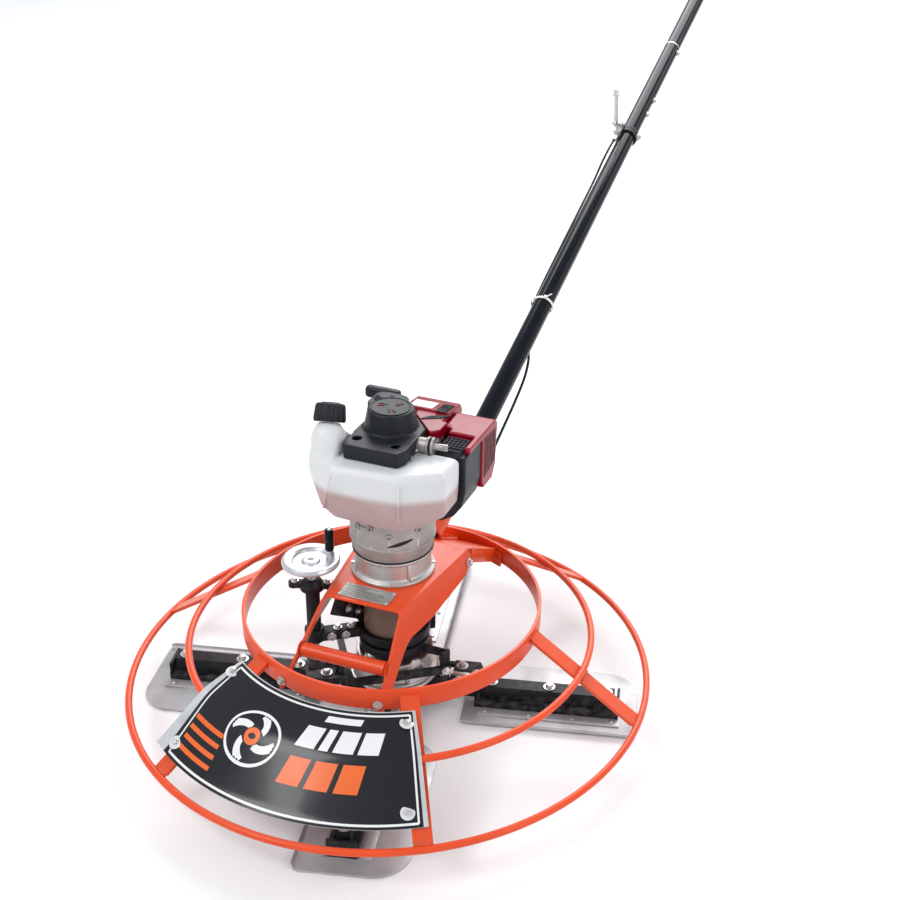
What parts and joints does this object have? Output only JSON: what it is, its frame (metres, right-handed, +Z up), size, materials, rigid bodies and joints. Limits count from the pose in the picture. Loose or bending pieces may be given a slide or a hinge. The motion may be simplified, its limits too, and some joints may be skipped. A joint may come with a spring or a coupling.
{
  "type": "power trowel",
  "caption": "Walk-behind concrete power trowel: ringed guard cage over four pitching blades, upright small petrol engine, planetary gearbox and a long single-pole handle.",
  "frame": {"origin": "centre of the flat underside of the spider hub, on the rotor axis, 8 mm above the floor that the flat blades rest on", "axes": "+Z up along the rotor axis, +Y from the rotor towards the operator along the pole, +X to the machine's right seen from the front"},
  "size_m": [0.762, 2.3525, 0.8896],
  "materials": {
    "orange_powder_coat": "satin powder coat",
    "guard_panel_plastic": "printed flexible sheet, glossy",
    "blade_steel": "rolled bare steel",
    "zinc_steel": "zinc plated",
    "cast_aluminium": "fine cast",
    "grey_gearbox_paint": "matt warm grey paint",
    "black_painted_steel": "satin black paint",
    "black_plastic": "moulded",
    "tank_plastic": "translucent moulded",
    "red_cover_plastic": "moulded, semi gloss",
    "gloss_black_tube": "gloss black paint",
    "black_knob_plastic": "polished",
    "grip_rubber": "ribbed",
    "cable_sheath": "smooth"
  },
  "bodies": {
    "machine": {"outer_ring": "orange_powder_coat", "middle_ring": "orange_powder_coat", "inner_band": "orange_powder_coat", "spoke_1": "orange_powder_coat", "spoke_2": "orange_powder_coat", "spoke_3": "orange_powder_coat", "spoke_4": "orange_powder_coat", "spoke_5": "orange_powder_coat", "spoke_6": "orange_powder_coat", "frame_plate": "orange_powder_coat", "frame_cheek_left": "orange_powder_coat", "frame_cheek_right": "orange_powder_coat", "crossbar": "orange_powder_coat", "pole_socket": "orange_powder_coat", "guard_panel": "guard_panel_plastic", "ring_gear": "zinc_steel", "nameplate": "cast_aluminium", "spacer_flange": "cast_aluminium", "clutch_case": "cast_aluminium", "engine_block": "cast_aluminium", "throttle_clamp": "cast_aluminium", "gearbox_housing": "grey_gearbox_paint", "gearbox_nose": "black_painted_steel", "pitch_bracket": "black_painted_steel", "screw_nut": "black_painted_steel", "recoil_cover": "black_plastic", "air_box": "black_plastic", "fuel_tank": "tank_plastic", "head_cover": "red_cover_plastic", "muffler_cover": "red_cover_plastic", "pole": "gloss_black_tube", "handle_bar": "gloss_black_tube", "grip_left": "grip_rubber", "grip_right": "grip_rubber", "throttle_cable": "cable_sheath"},
    "rotor": {"spider_hub": "black_painted_steel", "planet_carrier": "zinc_steel"},
    "arm_1_pitch": {"arm_1": "black_painted_steel", "blade_1": "blade_steel"},
    "arm_2_pitch": {"arm_2": "black_painted_steel", "blade_2": "blade_steel"},
    "arm_3_pitch": {"arm_3": "black_painted_steel", "blade_3": "blade_steel"},
    "arm_4_pitch": {"arm_4": "black_painted_steel", "blade_4": "blade_steel"},
    "thrust_plate": {"thrust_plate": "zinc_steel"},
    "thrust_collar": {"thrust_collar": "cast_aluminium"},
    "yoke": {"pitch_yoke": "black_painted_steel"},
    "screw_foot": {"screw_foot": "zinc_steel"},
    "handwheel": {"handwheel": "cast_aluminium", "pitch_screw": "zinc_steel"},
    "wheel_grip": {"wheel_grip": "black_knob_plastic"},
    "sun": {"sun_shaft": "zinc_steel"},
    "crank": {"crankshaft": "zinc_steel"},
    "planet_1": {"planet_gear_1": "zinc_steel"},
    "planet_2": {"planet_gear_2": "zinc_steel"},
    "planet_3": {"planet_gear_3": "zinc_steel"},
    "throttle_lever": {"throttle_lever": "zinc_steel"},
    "fuel_cap": {"fuel_cap": "black_plastic"},
    "starter_grip": {"starter_grip": "black_plastic"}
  },
  "joints": [
    {"name": "rotor_spin", "type": "hinge", "parent": "machine", "child": "rotor", "pos_m": [0, 0, 0.017], "axis": [0, 0, 1], "continuous": true},
    {"name": "handwheel_spin", "type": "hinge", "parent": "screw_foot", "child": "handwheel", "pos_m": [-0.09477, -0.06514, 0.238], "axis": [0, 0, 1], "range_deg": [0, 2882]},
    {"name": "screw_lift", "type": "slide", "parent": "machine", "child": "screw_foot", "axis": [0, 0, -1], "range_m": [0, 0.01642]},
    {"name": "yoke_tilt", "type": "hinge", "parent": "machine", "child": "yoke", "pos_m": [0.05274, 0.03625, 0.07], "axis": [0.5664, -0.8241, 0], "range_deg": [0, 5.49]},
    {"name": "collar_slide", "type": "slide", "parent": "machine", "child": "thrust_collar", "axis": [0, 0, -1], "range_m": [0, 0.0058]},
    {"name": "thrust_plate_slide", "type": "slide", "parent": "rotor", "child": "thrust_plate", "axis": [0, 0, -1], "range_m": [0, 0.0059]},
    {"name": "blade_1_pitch", "type": "hinge", "parent": "rotor", "child": "arm_1_pitch", "pos_m": [0.09744, 0.0225, 0.017], "axis": [-0.9744, -0.225, 0], "range_deg": [0, 12.2]},
    {"name": "blade_2_pitch", "type": "hinge", "parent": "rotor", "child": "arm_2_pitch", "pos_m": [-0.0225, 0.09744, 0.017], "axis": [0.225, -0.9744, 0], "range_deg": [0, 12.2]},
    {"name": "blade_3_pitch", "type": "hinge", "parent": "rotor", "child": "arm_3_pitch", "pos_m": [-0.09744, -0.0225, 0.017], "axis": [0.9744, 0.225, 0], "range_deg": [0, 12.2]},
    {"name": "blade_4_pitch", "type": "hinge", "parent": "rotor", "child": "arm_4_pitch", "pos_m": [0.0225, -0.09744, 0.017], "axis": [-0.225, 0.9744, 0], "range_deg": [0, 12.2]},
    {"name": "wheel_grip_spin", "type": "hinge", "parent": "handwheel", "child": "wheel_grip", "pos_m": [-0.07888, -0.0397, 0.262], "axis": [0, 0, 1], "continuous": true},
    {"name": "sun_spin", "type": "hinge", "parent": "machine", "child": "sun", "pos_m": [0, 0, 0.142], "axis": [0, 0, 1], "continuous": true},
    {"name": "crank_spin", "type": "hinge", "parent": "machine", "child": "crank", "pos_m": [0, 0, 0.292], "axis": [0, 0, 1], "continuous": true},
    {"name": "planet_1_spin", "type": "hinge", "parent": "rotor", "child": "planet_1", "pos_m": [0.02025, 0, 0.134], "axis": [0, 0, 1], "continuous": true},
    {"name": "planet_2_spin", "type": "hinge", "parent": "rotor", "child": "planet_2", "pos_m": [-0.01012, 0.01754, 0.134], "axis": [0, 0, 1], "continuous": true},
    {"name": "planet_3_spin", "type": "hinge", "parent": "rotor", "child": "planet_3", "pos_m": [-0.01013, -0.01754, 0.134], "axis": [0, 0, 1], "continuous": true},
    {"name": "throttle_lever_swing", "type": "hinge", "parent": "machine", "child": "throttle_lever", "pos_m": [-0.0255, 1.15617, 0.60435], "axis": [-1, 0, 0], "range_deg": [0, 55]},
    {"name": "fuel_cap_turn", "type": "hinge", "parent": "machine", "child": "fuel_cap", "pos_m": [-0.066, -0.05, 0.451], "axis": [-0.1215, 0.4535, 0.8829], "range_deg": [0, 270]},
    {"name": "starter_grip_pull", "type": "slide", "parent": "machine", "child": "starter_grip", "axis": [0, 1, 0], "range_m": [0, 0.03], "stiffness_N_per_m": 60}
  ],
  "couplings": [
    {"joint": "handwheel_spin", "follows": "collar_slide", "rad_per_m": 8666.5},
    {"joint": "screw_lift", "follows": "collar_slide", "ratio": 2.7969},
    {"joint": "yoke_tilt", "follows": "collar_slide", "rad_per_m": 15.625},
    {"joint": "thrust_plate_slide", "follows": "collar_slide", "ratio": 1},
    {"joint": "blade_1_pitch", "follows": "collar_slide", "rad_per_m": 36.11},
    {"joint": "blade_2_pitch", "follows": "collar_slide", "rad_per_m": 36.11},
    {"joint": "blade_3_pitch", "follows": "collar_slide", "rad_per_m": 36.11},
    {"joint": "blade_4_pitch", "follows": "collar_slide", "rad_per_m": 36.11},
    {"joint": "sun_spin", "follows": "rotor_spin", "ratio": 4.5},
    {"joint": "crank_spin", "follows": "rotor_spin", "ratio": 4.5},
    {"joint": "planet_1_spin", "follows": "rotor_spin", "ratio": -2.8},
    {"joint": "planet_2_spin", "follows": "rotor_spin", "ratio": -2.8},
    {"joint": "planet_3_spin", "follows": "rotor_spin", "ratio": -2.8}
  ]
}
